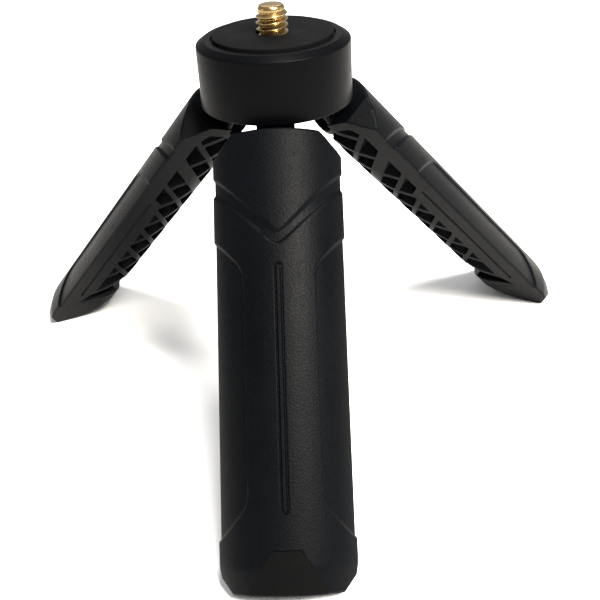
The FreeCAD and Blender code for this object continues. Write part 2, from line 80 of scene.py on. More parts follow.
class TripodHeadSettings(bpy.types.PropertyGroup):
    """Turned sizes of the head, its rubber seat and the camera stud."""
    side: length("Side", "Height of the straight side, below the chamfer", 12.25)
    top_radius: length("Top Radius", "Where the chamfer meets the flat top", 13.95)
    cavity_radius: length("Cavity Radius", "Inside of the head, open below", 13.8)
    cavity_height: length("Cavity Height", "Depth of the room for the hub", 10.2)
    well_radius: length("Well Radius", "Outer edge of the groove round the seat", 12.5)
    well_depth: length("Well Depth", "How deep the seat is set into the top", 0.5)
    hole_radius: length("Hole Radius", "Hole for the camera stud", 2.95)
    edge: length("Edge Rounding", "Rounding of the head's edges", 0.22)
    seat_edge: length("Seat Edge", "Rounding of the rubber seat's rim", 0.16)
    pitch: length("Thread Pitch", "Distance between the crests of the thread", 1.27)
    thread_depth: length("Thread Depth", "From crest to root", 0.68)
    point_radius: length("Point Radius", "Radius of the stud's plain point", 2.7)
    point: length("Point", "Length of the stud's plain point", 1.25)
    point_drop: length("Point Drop", "How far the point ends below the CAD screw's top", 0.4)
    point_edge: length("Point Edge", "Rounding of the point's end", 0.85)
    seat_hole: length("Seat Hole", "Hole in the rubber seat", 3.3)
    turns: IntProperty(name="Facets", description="Facets round each turned piece",
                       default=192, min=24, max=512)


class TripodLegSettings(bpy.types.PropertyGroup):
    """Sizes of one leg, closed, measured down from the top of its skin."""
    radius: length("Skin Radius", "Outer radius of the closed grip", 14.8)
    skin_flat: length("Skin Flattening", "How far the skin's middle lies inside that radius", 0.5)
    height: length("Length", "From the top of the skin to the end of the foot", 85.3)
    gap: length("Flank Gap", "How far each flank stands back from its sector", 0.2)
    skin: length("Skin", "Thickness of the curved skin", 2.2)
    corner: length("Corner", "Rounding between skin and flank", 0.45)
    truss_nose: length("Truss Nose", "Rounding of the inner edge along the lattice", 9.5)
    foot_nose: length("Foot Nose", "Rounding of the inner edge at the foot", 6.0)
    foot_start: length("Foot Start", "Where the solid foot begins", 70.1)
    sole_round: length("Sole Rounding", "Rounding from the inner edge to the sole", 17.0)
    end_taper: length("End Taper", "How far the skin draws in at the end of the foot", 1.1)
    taper_length: length("Taper Length", "Length of that taper", 4.8)
    plate: length("Plate", "Thickness of a lattice plate", 1.2)
    wide_plate: length("Wide Plate", "Thickness of the second pair of plates", 2.8)
    first_node: length("First Crossing", "First whole crossing of the lattice", 14.5)
    node_pitch: length("Crossing Pitch", "Distance between crossings", 7.95)
    recess: length("Recess", "Depth of the band and of the side fields", 0.42)
    rib_groove: length("Rib Groove", "Depth of the groove round the middle rib", 0.32)
    flank_groove: length("Flank Groove", "Depth of the groove on each flank", 0.5)
    pad_pocket: length("Pad Pocket", "Depth of the pocket for the rubber pad", 0.5)
    pivot_height: length("Hinge Height", "Hinge axis above the top of the skin", 7.56)
    ear_outside: length("Neck Half Width", "From the middle to the outside of an ear", 3.7)
    slot_half: length("Slot Half Width", "Half the room between the ears", 1.65)
    notch_half: length("Notch Half Width", "Half the width of the notch at the crown", 3.7)
    notch_wall: length("Notch Wall", "Thickness of the wall round the notch", 0.85)
    boss: length("Ear Radius", "Rounding of the ears round the pin", 2.4)
    step: length("Mesh Step", "Spacing of the fine part of the mesh", 0.3)


class TripodFinishSettings(bpy.types.PropertyGroup):
    """Colours of the finishes."""
    leg_black: colour("Leg Black", "Finely grained plastic", (0.0008, 0.0010, 0.0014, 1.0))
    head_black: colour("Head Black", "Smooth satin plastic", (0.0006, 0.0007, 0.0010, 1.0))
    rubber_black: colour("Rubber Black", "Seat and foot pads", (0.0012, 0.0013, 0.0015, 1.0))
    brass: colour("Brass", "Camera stud", (0.36, 0.25, 0.105, 1.0))
    steel: colour("Steel", "Nut, washers, screws and pins", (0.30, 0.31, 0.32, 1.0))
    floor: colour("Floor", "Pale studio floor", (0.93, 0.93, 0.93, 1.0))


class TripodSettings(bpy.types.PropertyGroup):
    """Everything a user would change."""
    head: PointerProperty(type=TripodHeadSettings, name="Head", description="Head and stud")
    leg: PointerProperty(type=TripodLegSettings, name="Leg", description="Form of one leg")
    finish: PointerProperty(type=TripodFinishSettings, name="Finish", description="Colours")


def settings():
    return bpy.context.scene.mini_tripod


# ------------------------------------------------------------------------------- node helpers
class Surface:
    """A material under construction, with short ways to add and join its nodes."""

    def __init__(self, name, base, roughness, metallic=0.0):
        self.material = bpy.data.materials.new(name)
        self.material.use_nodes = True
        self.material.diffuse_color = base
        self.tree = self.material.node_tree
        self.shader = self.tree.nodes["Principled BSDF"]
        self.shader.inputs["Base Color"].default_value = base
        self.shader.inputs["Roughness"].default_value = roughness
        self.shader.inputs["Metallic"].default_value = metallic
        self.place = self.tree.nodes.new("ShaderNodeTexCoord").outputs["Object"]

    def node(self, kind, inputs=None, **properties):
        """A new node with its properties, its plain inputs and its links set."""
        made = self.tree.nodes.new(kind)
        for name, value in properties.items():
            setattr(made, name, value)
        for name, value in (inputs or {}).items():
            if isinstance(value, bpy.types.NodeSocket):
                self.tree.links.new(value, made.inputs[name])
            else:
                made.inputs[name].default_value = value
        return made

    def noise(self, grain, detail=3.0, roughness=0.55, stretch=(1.0, 1.0, 1.0)):
        """Noise whose features are about one grain across, in metres."""
        mapped = self.node("ShaderNodeMapping", {"Vector": self.place, "Scale": stretch})
        made = self.node("ShaderNodeTexNoise", {
            "Vector": mapped.outputs["Vector"], "Scale": 1.0 / grain, "Detail": detail,
            "Roughness": roughness})
        return made.outputs["Fac"]

    def spread(self, value, low, high, start=0.3, end=0.7):
        """Map a value between start and end to the range from low to high."""
        made = self.node("ShaderNodeMapRange", {
            "Value": value, "From Min": start, "From Max": end, "To Min": low, "To Max": high})
        return made.outputs["Result"]

    def sum(self, first, second):
        return self.node("ShaderNodeMath", {0: first, 1: second}, operation="ADD").outputs[0]

    def product(self, first, second):
        return self.node("ShaderNodeMath", {0: first, 1: second},
                         operation="MULTIPLY").outputs[0]

    def tint(self, amount, first, second):
        """Blend two colours by an amount."""
        sockets = {0: amount, 6: first, 7: second}
        return self.node("ShaderNodeMix", sockets, data_type="RGBA").outputs[2]

    def bump(self, height, distance, strength=1.0, below=None):
        """Turn a height into a normal, over a coarser one if that is given."""
        inputs = {"Height": height, "Distance": distance, "Strength": strength}
        if below is not None:
            inputs["Normal"] = below
        return self.node("ShaderNodeBump", inputs).outputs["Normal"]

    def join(self, value, socket):
        self.tree.links.new(value, self.shader.inputs[socket])


def brighter(base, factor):
    return tuple(min(1.0, channel * factor) for channel in base[:3]) + (1.0,)


def grained_plastic(name, base, grain, depth, roughness, scuffs, gloss_level=0.036):
    """Moulded black plastic: spark-eroded grain, soft colour drift, faint rubbing, and a painted highlight that
    lightens the sharp edges.
    """
    surface = Surface(name, base, roughness)
    fine = surface.noise(grain, detail=4.0, roughness=0.6)
    cells = surface.node("ShaderNodeTexVoronoi", {
        "Vector": surface.place, "Scale": 0.6 / grain, "Randomness": 1.0}).outputs["Distance"]
    drift = surface.noise(0.018, detail=2.0)
    # this noise gives the roughness scuffs, and it also breaks up the painted edge highlight below
    rubbing_and_edge_sheen = surface.noise(0.0016, detail=5.0, roughness=0.7, stretch=(1.0, 1.0, 0.35))
    # sharp edges, found by Pointiness, get a lighter base colour: a painted highlight
    edges = surface.node("ShaderNodeNewGeometry").outputs["Pointiness"]
    painted_edge_highlight = surface.spread(edges, 0.0, 1.0, 0.515, 0.60)
    shade = surface.spread(drift, 0.0, 0.55)
    speck = surface.spread(fine, 0.0, 0.45, 0.35, 0.75)
    amount = surface.sum(surface.sum(shade, speck), surface.product(painted_edge_highlight, rubbing_and_edge_sheen))
    surface.join(surface.tint(amount, base, brighter(base, 1.9)), "Base Color")
    gloss = surface.sum(surface.spread(drift, -0.035, 0.035),
                        surface.spread(fine, -0.09, 0.12, 0.3, 0.72))
    scuffed = surface.spread(rubbing_and_edge_sheen, 0.0, scuffs, 0.55, 0.78)
    surface.join(surface.sum(surface.sum(gloss, scuffed), roughness), "Roughness")
    coarse = surface.bump(cells, depth * 0.6)
    surface.join(surface.bump(fine, depth, below=coarse), "Normal")
    surface.shader.inputs["Specular IOR Level"].default_value = gloss_level
    return surface.material


def leg_plastic():
    return grained_plastic("leg_black", settings().finish.leg_black, grain=0.00027,
                           depth=0.00004, roughness=0.42, scuffs=0.12)


def head_plastic():
    return grained_plastic("head_black", settings().finish.head_black, grain=0.00042,
                           depth=0.000012, roughness=0.40, scuffs=0.07, gloss_level=0.030)


def hub_plastic():
    return grained_plastic("hub_black", brighter(settings().finish.head_black, 1.2),
                           grain=0.0005, depth=0.000012, roughness=0.5, scuffs=0.1)


def rubber(name, base, grain):
    """Matt rubber with a dusty bloom and a few pale scuffs."""
    surface = Surface(name, base, 0.78)
    fine = surface.noise(grain, detail=5.0, roughness=0.65)
    bloom = surface.noise(0.006, detail=4.0)
    marks = surface.noise(0.0011, detail=6.0, roughness=0.7, stretch=(0.7, 1.3, 1.0))
    where = surface.noise(0.009, detail=1.0)
    dust = surface.sum(surface.spread(bloom, 0.0, 0.5), surface.spread(fine, 0.0, 0.3))
    scuffs = surface.product(surface.spread(marks, 0.0, 1.0, 0.62, 0.70),
                             surface.spread(where, 0.0, 0.7, 0.52, 0.62))
    dusty = surface.tint(dust, base, brighter(base, 2.0))
    surface.join(surface.tint(scuffs, dusty, brighter(base, 9.0)), "Base Color")
    surface.join(surface.spread(bloom, 0.68, 0.84), "Roughness")
    surface.join(surface.bump(fine, 0.000012), "Normal")
    surface.shader.inputs["Specular IOR Level"].default_value = 0.05
    return surface.material


def turned_metal(name, base, roughness, line_spacing, tarnish):
    """Turned metal: fine tool lines round the axis, and a slightly uneven polish."""
    surface = Surface(name, base, roughness, metallic=1.0)
    lines = surface.noise(line_spacing, detail=1.0, stretch=(0.05, 0.05, 1.0))
    patches = surface.noise(0.0022, detail=3.0)
    darker = tuple(channel * tarnish for channel in base[:3]) + (1.0,)
    surface.join(surface.tint(surface.spread(patches, 0.0, 1.0), base, darker), "Base Color")
    uneven = surface.sum(surface.spread(lines, -0.03, 0.04), surface.spread(patches, 0.0, 0.08))
    surface.join(surface.sum(uneven, roughness), "Roughness")
    surface.join(surface.bump(lines, 0.0000012), "Normal")
    return surface.material


def brass():
    return turned_metal("stud_brass", settings().finish.brass, roughness=0.20,
                        line_spacing=0.00012, tarnish=0.75)


def steel():
    return turned_metal("zinc_steel", settings().finish.steel, roughness=0.32,
                        line_spacing=0.0001, tarnish=0.8)


# ------------------------------------------------------------------------------- mesh helpers
def new_mesh(name, points, faces, matrix=None):
    """A clean closed mesh: doubles merged, slivers dropped, normals out.

    A part with a matrix is in metres; the others are in millimetres until they are placed.
    """
    unit = 1.0 if matrix is None else MM
    mesh = bpy.data.meshes.new(name)
    mesh.from_pydata([tuple(point) for point in points], [], faces)
    form = bmesh.new()
    form.from_mesh(mesh)
    bmesh.ops.remove_doubles(form, verts=form.verts, dist=MERGE * unit)
    bmesh.ops.dissolve_degenerate(form, edges=form.edges, dist=SLIVER * unit)
    bmesh.ops.recalc_face_normals(form, faces=form.faces)
    if matrix is not None:
        form.transform(matrix)
    form.to_mesh(mesh)
    form.free()
    return mesh


def shade(mesh, angle=32.0):
    """Smooth shading, with edges sharper than the angle kept crisp."""
    mesh.polygons.foreach_set("use_smooth", [True] * len(mesh.polygons))
    mesh.set_sharp_from_angle(angle=math.radians(angle))


def show(name, mesh, body, nodes, material):
    """Put a finished mesh in the scene in place of its CAD nodes."""
    shade(mesh)
    mesh.materials.clear()
    mesh.materials.append(material)
    piece = bpy.data.objects.new(name, mesh)
    bpy.context.scene.collection.objects.link(piece)
    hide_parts(*nodes)
    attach(piece, body)
    return piece


def rounded(corners, steps=5):
    """Corners given as (x, y, rounding): each one becomes a short arc of points."""
    points = []
    count = len(corners)
    for index, (x, y, radius) in enumerate(corners):
        here = Vector((x, y))
        if radius <= 0:
            points.append(here)
            continue
        back = (Vector(corners[index - 1][:2]) - here).normalized()
        ahead = (Vector(corners[(index + 1) % count][:2]) - here).normalized()
        half = back.angle(ahead) / 2
        reach = radius / math.tan(half)
        start = here + back * reach
        centre = here + (back + ahead).normalized() * (radius / math.sin(half))
        sweep = math.pi - 2 * half
        side = 1.0 if back.cross(ahead) < 0 else -1.0
        arm = start - centre
        for step in range(steps + 1):
            turn = Matrix.Rotation(side * sweep * step / steps, 2)
            points.append(centre + turn @ arm)
    return points


def turned(name, profile, facets, matrix):
    """Sweep a closed profile of (radius, height) round the Z axis."""
    points = []
    for facet in range(facets):
        angle = 2 * math.pi * facet / facets
        points += [(radius * math.cos(angle), radius * math.sin(angle), height)
                   for radius, height in profile]
    count = len(profile)
    faces = []
    for facet in range(facets):
        here = facet * count
        there = (facet + 1) % facets * count
        for index in range(count):
            after = (index + 1) % count
            faces.append((here + index, here + after, there + after, there + index))
    return new_mesh(name, points, faces, matrix)


def smooth_step(value, width):
    """0 on one side, 1 on the other, with a soft edge of that width between."""
    part = min(1.0, max(0.0, value / width + 0.5))
    return part * part * (3 - 2 * part)


def soft_least(values, softness):
    """The least of some distances, rounded where two of them meet."""
    least = min(values)
    total = sum(math.exp((least - value) / softness) for value in values)
    return least - softness * math.log(total)


# ------------------------------------------------------------------------------- head and stud
def turned_on_head(name, node, corners, material):
    """A turned piece in the place of a CAD node; corners gives its profile from its size."""
    low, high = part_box(node)
    profile = rounded(corners((high[0] - low[0]) / 2, high[2] - low[2]))
    lift = Matrix.Translation((0, 0, low[2]))
    mesh = turned(name, profile, settings().head.turns, lift)
    return show(name, mesh, "head", [node], material)


def cap_corners(radius, tall):
    """The cap: rounded chamfer on top, cavity below, and a shallow well for the seat."""
    sizes = settings().head
    edge = sizes.edge
    floor = tall - sizes.well_depth
    return [
        (sizes.cavity_radius, 0.0, edge),
        (radius, 0.0, 1.4 * edge),
        (radius, sizes.side, 2.2 * edge),
        (sizes.top_radius, tall, 1.6 * edge),
        (sizes.well_radius, tall, 0.5 * edge),
        (sizes.well_radius, floor, 0.0),
        (sizes.hole_radius, floor, 0.0),
        (sizes.hole_radius, sizes.cavity_height, 0.5 * edge),
        (sizes.cavity_radius, sizes.cavity_height, 2.0 * edge)]


def seat_corners(radius, tall):
    """Rubber disc: a soft rim, and a hairline gap round the stud."""
    sizes = settings().head
    return [
        (sizes.seat_hole, 0.0, 0.0),
        (radius, 0.0, 0.0),
        (radius, tall, sizes.seat_edge),
        (sizes.seat_hole, tall, 0.5 * sizes.seat_edge)]


STUD_ROW = 0.06           # between the mesh rows of the thread, in millimetres
SHANK_PLAY = 0.05         # between the stud's shank and the head
FOOT_CHAMFER = 0.6        # at the stud's lower end
ROOT_FLAT = 0.12          # flat at the thread's root, and its flank, as parts of half a turn
FLANK = 0.70


def thread_radius(height, angle, sizes, outer):
    """Radius of a V thread with flattened crests and roots."""
    phase = (height / sizes.pitch - angle / (2 * math.pi)) % 1.0
    slope = abs(phase - 0.5) * 2
    flank = min(1.0, max(0.0, (slope - ROOT_FLAT) / FLANK))
    return outer - sizes.thread_depth * (1 - flank)


def stud_limit(below_tip, sizes):
    """Largest radius near the tip: a plain point, rounded at its end, then a short cone."""
    edge = sizes.point_edge
    if below_tip < edge:
        drop = edge - below_tip
        return sizes.point_radius - edge + math.sqrt(max(0.0, edge * edge - drop * drop))
    return sizes.point_radius + max(0.0, below_tip - sizes.point)


def make_stud(material):
    """Camera screw with a real helical thread and a tapered tip."""
    sizes = settings().head
    low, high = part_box("camera_stud")
    outer = (high[0] - low[0]) / 2
    tall = high[2] - low[2] - sizes.point_drop
    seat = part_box("top_pad")[1][2] - low[2]
    facets = 96
    rows = round(tall / (STUD_ROW * MM))
    points = []
    for row in range(rows + 1):
        height = tall * row / rows
        for facet in range(facets):
            angle = 2 * math.pi * facet / facets
            reach = thread_radius(height, angle, sizes, outer)
            if height < seat - sizes.pitch:
                reach = min(reach, sizes.hole_radius - SHANK_PLAY * MM)
            foot = outer - FOOT_CHAMFER * MM + height
            reach = min(reach, stud_limit(tall - height, sizes), foot)
            points.append((reach * math.cos(angle), reach * math.sin(angle), height))
    faces = []
    for row in range(rows):
        faces += ring_quads(row * facets, facets)
    faces.append(tuple(reversed(range(facets))))
    faces.append(tuple(range(rows * facets, (rows + 1) * facets)))
    lift = Matrix.Translation((0, 0, low[2]))
    mesh = new_mesh("threaded_stud", points, faces, lift)
    return show("threaded_stud", mesh, "head", ["camera_stud"], material)


# ------------------------------------------------------------------------------- leg form
class LegForm:
    """Form of one closed leg in millimetres: outward from the grip's axis, across, and down."""

    BAND = {"top": 20.0, "bottom": 22.3, "top_slope": 1.055, "bottom_slope": 0.97, "bend": 1.1}
    FIELD = {"inner": 6.95, "knee": 26.7, "slope": 1.11, "flare": 69.6, "flare_slope": 1.14}
    RIB = {"top": 26.75, "end": 70.45, "half": 0.58, "line": 0.19}
    PAD = {"start": 77.4, "half": 3.0, "slope": 0.687, "widest": 7.6, "corner": 0.9,
           "square_on": 0.85, "play": 0.06, "corner_start": 0.5}
    GROOVE = {"radius": 10.65, "half": 0.24, "top": 28.0, "end": 70.0}
    BEVEL = {"top": 8.3, "top_slope": 1.0, "end": 9.8, "end_slope": 0.8}
    WINDOW = {"top": 2.5, "arch_end": 6.3, "arch_half": 7.2, "wide_half": 8.9, "wide_end": 25.8,
              "step": 27.4, "step_width": 3.2, "step_end": 29.0, "half": 6.4,
              "flare_before": 1.6, "flare": 2.2, "flare_length": 5.8, "past_foot": 4.2}
    NOTCH = {"rim": 0.4, "floor": 0.6, "depth": 1.9, "under": 0.9, "under_depth": 2.9,
             "least": 0.5, "solid_top": 1.2, "solid_least": 1.7, "reach": 6.2}
    WING = {"top": 1.4, "bottom": 4.2, "rise": 0.28, "spacing": 0.3, "overlap": 0.5,
            "set_back": 0.7}
    ARM = {"rise": 4.6, "start": 1.3, "lean": 0.16, "set_back": 0.03, "depth": 1.0}
    WEDGE = {"above": 0.6, "slope": 0.52, "below": 5.4, "spacing": 0.3, "steps": 28}
    EAR = {"inside": 5.0, "outside": 9.5, "root": -3.5, "shoulder": 2.55, "waist": (6.6, 4.6),
           "first_turn": -41.6, "sweep": 208.6}
    SPACING = {"rib": 1.1, "field": 0.45, "fine": 0.11, "middling_from": 2.4,
               "middling_to": 8.2, "middling": 0.16, "last": 11.7, "whole": 11.9}
    ROWS = {"fine_top": 31.0, "fine_end": 66.0, "coarse": 14, "offset": 0.3, "pad": 0.14,
            "before_pad": 0.6, "before_end": 0.4}
    ENDS = (0.06, 0.15)              # depths of the first sections that round the crown's edge
    BAND_EDGES = (0.45, 0.32)        # widths of the soft edges pressed into the skin
    FIELD_EDGE, FIELD_CORNER, RIB_EDGE, PAD_EDGE, GROOVE_EDGE = 0.34, 0.55, 0.16, 0.2, 0.22
    NOSE_CHANGE = (0.3, 0.6)         # start below the foot's top, and length
    END_EDGE = 0.5
    HEART = 7.0                      # the lids close on this place on the middle line
    SEAT_INSIDE = 5.3
    LATTICE_SLOPE = 1.1
    LATTICE_TOP = 2.2

    def __init__(self, sizes, open_angle, hinge_reach, stance):
        for name in sizes.bl_rna.properties.keys():
            if name not in ("rna_type", "name"):
                setattr(self, name, getattr(sizes, name) / MM)
        self.hinge_reach = hinge_reach / MM
        self.place_sole(open_angle, stance / MM)

    def place_sole(self, angle, stance):
        """Level ground in the closed leg's frame: down = sole_start + sole_slope * outward."""
        self.sole_slope = math.tan(angle)
        self.sole_start = stance / math.cos(angle) - self.hinge_reach * self.sole_slope
        self.sole_start -= self.pivot_height
        nose = self.nose_point(self.foot_nose)
        corner = self.sole_start + self.sole_slope * nose
        turn = math.atan2(1.0, self.sole_slope)
        reach = self.sole_round * math.tan(turn / 2)
        self.round_outward = nose + self.sole_round
        self.round_down = corner - reach
        self.round_end = nose + reach * math.sin(turn)

    def nose_centre(self, nose):
        return (nose + self.gap) / SIN_60

    def nose_point(self, nose):
        """The inner edge's place in the middle of the leg."""
        return self.nose_centre(nose) - nose

    def inner_edge(self, across, nose):
        """Outward place of the rounded inner edge or the flank."""
        across = abs(across)
        if across < nose / 2:
            return self.nose_centre(nose) - math.sqrt(nose * nose - across * across)
        return (across * COS_60 + self.gap) / SIN_60

    def inner_skin(self, across):
        radius = self.radius - self.skin
        return math.sqrt(max(0.0, radius * radius - across * across))

    def nose_at(self, down):
        """The nose tightens where the solid foot begins."""
        start, width = self.NOSE_CHANGE
        part = smooth_step(down - self.foot_start - start, width)
        return self.truss_nose + (self.foot_nose - self.truss_nose) * part

    def window_half(self, down):
        """Half width of the window room, or 0 where the leg is solid."""
        window = self.WINDOW
        top, arch_end, half = window["top"], window["arch_end"], window["half"]
        wide_half = window["wide_half"]
        flare_start = self.foot_start - window["flare_before"]
        if down < top or down > self.foot_start + window["past_foot"]:
            return 0.0
        if down < arch_end:
            grown = wide_half - window["arch_half"]
            return window["arch_half"] + grown * math.sqrt((down - top) / (arch_end - top))
        if down < window["wide_end"]:
            return wide_half
        if down < window["step_end"]:
            stepped = smooth_step(down - window["step"], window["step_width"])
            return half + (wide_half - half) * (1 - stepped)
        if down < flare_start:
            return half
        return half + window["flare"] * (down - flare_start) / window["flare_length"]

    def pad_half(self, down):
        """Half width of the foot pad's outline, with rounded upper corners."""
        pad = self.PAD
        past = max(0.0, down - pad["start"])
        half = min(pad["widest"], pad["half"] + pad["slope"] * max(0.0, past - pad["corner_start"]))
        corner = max(0.0, 1 - past / pad["corner"])
        return half - pad["corner"] * (1 - math.sqrt(1 - corner * corner))

    def sink(self, across, down):
        """How far the skin lies below its full radius."""
        side = abs(across)
        band = self.BAND
        arm = math.sqrt(side * side + band["bend"] ** 2) - band["bend"]
        above = (down - band["top"] + band["top_slope"] * arm) / math.hypot(1, band["top_slope"])
        below = (band["bottom"] - band["bottom_slope"] * arm - down)
        below /= math.hypot(1, band["bottom_slope"])
        upper_edge, lower_edge = self.BAND_EDGES
        depth = self.recess * smooth_step(above, upper_edge) * smooth_step(below, lower_edge)

        field = self.FIELD
        inward = side - field["inner"]
        diagonal = down - field["knee"] + field["slope"] * inward
        flare = field["flare"] + field["flare_slope"] * inward - down
        inside = soft_least([
            inward, diagonal / math.hypot(1, field["slope"]),
            flare / math.hypot(1, field["flare_slope"])], self.FIELD_CORNER)
        depth += self.recess * smooth_step(inside, self.FIELD_EDGE)

        rib = self.RIB
        along = max(rib["top"] - down, down - rib["end"], 0.0)
        away = abs(math.hypot(side, along) - rib["half"])
        depth += self.rib_groove * (1 - smooth_step(away - rib["line"], self.RIB_EDGE))

        pad = self.PAD
        inside = min(down - pad["start"], (self.pad_half(down) - side) * pad["square_on"])
        depth += self.pad_pocket * smooth_step(inside - pad["play"], self.PAD_EDGE)
        return depth + self.drawn_in(across, down)

    def drawn_in(self, across, down):
        """How far the plain skin lies inside its full radius: flatter middle, tapered end."""
        flat = self.skin_flat * (1 - (across / (self.radius * SIN_60)) ** 2)
        past = down - self.height + self.taper_length
        taper = (past + math.hypot(past, 0.5)) / 2 * self.end_taper / self.taper_length
        return max(0.0, flat) + taper

    def end_round(self, down):
        """Rounding of the skin's two ends."""
        edge = self.END_EDGE
        near = min(down, self.height - down)
        if near >= edge:
            return 0.0
        return edge - math.sqrt(max(0.0, edge * edge - (edge - near) ** 2))

    def limit(self, outward, across, down):
        """Keep a point inside the corner bevels and above the sole."""
        bevel = self.BEVEL
        widest = min(bevel["top"] + bevel["top_slope"] * down,
                     bevel["end"] + bevel["end_slope"] * (self.height - down))
        across = max(-widest, min(widest, across))
        lowest = self.sole_start + self.sole_slope * outward
        if outward < self.round_end:
            arm = self.sole_round ** 2 - (self.round_outward - outward) ** 2
            lowest = min(lowest, self.round_down + math.sqrt(max(0.0, arm)))
        return outward, across, min(down, lowest)

    # ---- half section, from the middle of the skin round to the middle of the inside
    def skin_fractions(self):
        """Places across the skin: closer together at the rib and at the side fields."""
        spacing = self.SPACING
        places = [0.0]
        while places[-1] < spacing["last"]:
            side = places[-1]
            step = self.step
            if spacing["middling_from"] < side < spacing["middling_to"]:
                step = spacing["middling"]
            if side < spacing["rib"] or abs(side - self.FIELD["inner"]) < spacing["field"]:
                step = spacing["fine"]
            places.append(side + step)
        return [place / spacing["whole"] for place in places]

    def half_section(self, down):
        """One half of the leg's outline at a depth, as (outward, across) points."""
        corner_sink = self.sink(self.radius * math.sin(math.radians(57)), down)
        radius = self.radius - corner_sink - self.end_round(down)
        reach = radius - self.corner
        bearing = math.radians(60) - math.asin((self.gap + self.corner) / reach)
        points = []
        for fraction in self.skin_fractions():
            angle = bearing * fraction
            here = self.radius - self.end_round(down)
            here -= self.sink(self.radius * math.sin(angle), down)
            points.append((here * math.cos(angle), here * math.sin(angle)))
        centre = (reach * math.cos(bearing), reach * math.sin(bearing))
        for step in range(7):
            turn = bearing + (math.radians(150) - bearing) * step / 6
            points.append((centre[0] + self.corner * math.cos(turn),
                           centre[1] + self.corner * math.sin(turn)))
        start = centre[0] * COS_60 + centre[1] * SIN_60
        points += self.inner_path(start, down)
        return points

    def inner_path(self, start, down):
        """Down the flank and round the nose, or over a window's edge to the inner skin."""
        nose = self.nose_at(down)
        touch = nose / 2 * SIN_60 + (self.nose_centre(nose) - nose * SIN_60) * COS_60
        half = self.window_half(down)
        flank_steps, side_steps, skin_steps = 34, 4, 9
        if half > 0:
            full = start - (half - self.gap / 2 * COS_60) / SIN_60
        else:
            full = start - touch + nose * math.radians(30)
        points = []
        for step in range(1, flank_steps + 1):
            travel = full * step / flank_steps
            along = start - travel
            if along >= touch:
                dip = self.groove_depth(along, down)
                outward = along * COS_60 + (self.gap + dip) * SIN_60
                across = along * SIN_60 - (self.gap + dip) * COS_60
            else:
                turn = math.radians(150) + (touch - along) / nose
                outward = self.nose_centre(nose) + nose * math.cos(turn)
                across = nose * math.sin(turn)
            points.append((outward, across))
        if half == 0:
            return points + [points[-1]] * (side_steps + skin_steps)
        last_outward, last_across = points[-1]
        inner = self.inner_skin(last_across)
        for step in range(1, side_steps + 1):
            outward = last_outward + (inner - last_outward) * step / side_steps
            points.append((outward, last_across))
        for step in range(1, skin_steps + 1):
            across = last_across * (1 - step / skin_steps)
            points.append((self.inner_skin(across), across))
        return points

    def groove_depth(self, along, down):
        groove = self.GROOVE
        inside = min(groove["half"] - abs(along - groove["radius"]),
                     down - groove["top"], groove["end"] - down)
        return self.flank_groove * smooth_step(inside, self.GROOVE_EDGE)

    def depths(self):
        """Depths of the sections: close together where the form changes."""
        size = self.ROWS
        fine_top, coarse = size["fine_top"], size["coarse"]
        places = [0.0, *self.ENDS]
        while places[-1] < fine_top:
            places.append(places[-1] + self.step)
        places += [fine_top + (size["fine_end"] - fine_top) * step / coarse + size["offset"]
                   for step in range(1, coarse + 1)]
        while places[-1] < self.height - size["before_end"]:
            at_pad = places[-1] > self.PAD["start"] - size["before_pad"]
            places.append(places[-1] + (size["pad"] if at_pad else self.step))
        return places + [self.height - 0.15, self.height - 0.05, self.height]

    def shell(self):
        """The moulded body: skin, flanks, crown and foot, as points and faces."""
        depths = self.depths()
        rows = [[(n, t, down) for n, t in self.half_section(down)] for down in depths]
        heart, rings = self.HEART, 22
        for at_end in (False, True):
            rim = rows[-1] if at_end else rows[0]
            lid = []
            for ring in range(1, rings + 1):
                scale = 1 - ring / rings
                row = []
                for outward, across, down in rim:
                    point = (heart + (outward - heart) * scale, across * scale, down)
                    row.append(self.pad_seat(*point) if at_end else point)
                lid.append(row)
            rows = rows + lid if at_end else list(reversed(lid)) + rows
        limited = [[self.limit(*point) for point in row] for row in rows]
        return mirrored(limited)

    def pad_seat(self, outward, across, down):
        """Sink the end face where the rubber pad lies."""
        inside = min(self.PAD["widest"] - abs(across), outward - self.SEAT_INSIDE)
        return outward, across, down - self.pad_pocket * smooth_step(inside, 0.1)

    # ---- parts of the leg that are joined to the shell
    def slab(self, sections, inner_lift=0.02, edge=0.16, notch=0.0):
        """A plate whose sections are (across, top, bottom): from the nose to the skin."""
        rows = []
        for across, top, bottom in sections:
            nose = self.nose_at((top + bottom) / 2)
            near = self.inner_edge(across, nose) + inner_lift
            near = max(near, notch)
            far = self.inner_skin(across) + 0.4
            rows.append([
                (near + edge, across, top), (near, across, top + edge),
                (near, across, bottom - edge), (near + edge, across, bottom),
                (far, across, bottom), (far, across, top)])
        return lofted(rows)

    def lattice(self):
        """Two plates through each crossing: the half that rises stands a little proud."""
        slope = self.LATTICE_SLOPE
        reach = self.node_pitch / slope + 0.3
        for index in range(-2, 7):
            middle = self.first_node + self.node_pitch * index
            for side in (-1, 1):
                falling = self.plate_run(middle, side, slope, self.plate, 0.0, reach)
                yield self.slab(falling, inner_lift=0.12)
                if index >= 0:
                    thickness = self.wide_plate if index == 1 else self.plate
                    rising = self.plate_run(middle, side, -slope, thickness, -0.4, 9.6)
                    yield self.slab(rising)

    def plate_run(self, middle, side, slope, thickness, start, end):
        """Sections of one plate, from near the leg's middle out to its window's edge."""
        half = thickness / 2 * math.hypot(1, slope)
        sections = []
        for step in range(41):
            away = start + (end - start) * step / 40
            down = middle + slope * away
            if down > self.LATTICE_TOP and away <= self.window_half(down) + 0.2:
                sections.append((side * away, down - half, down + half))
        return sections

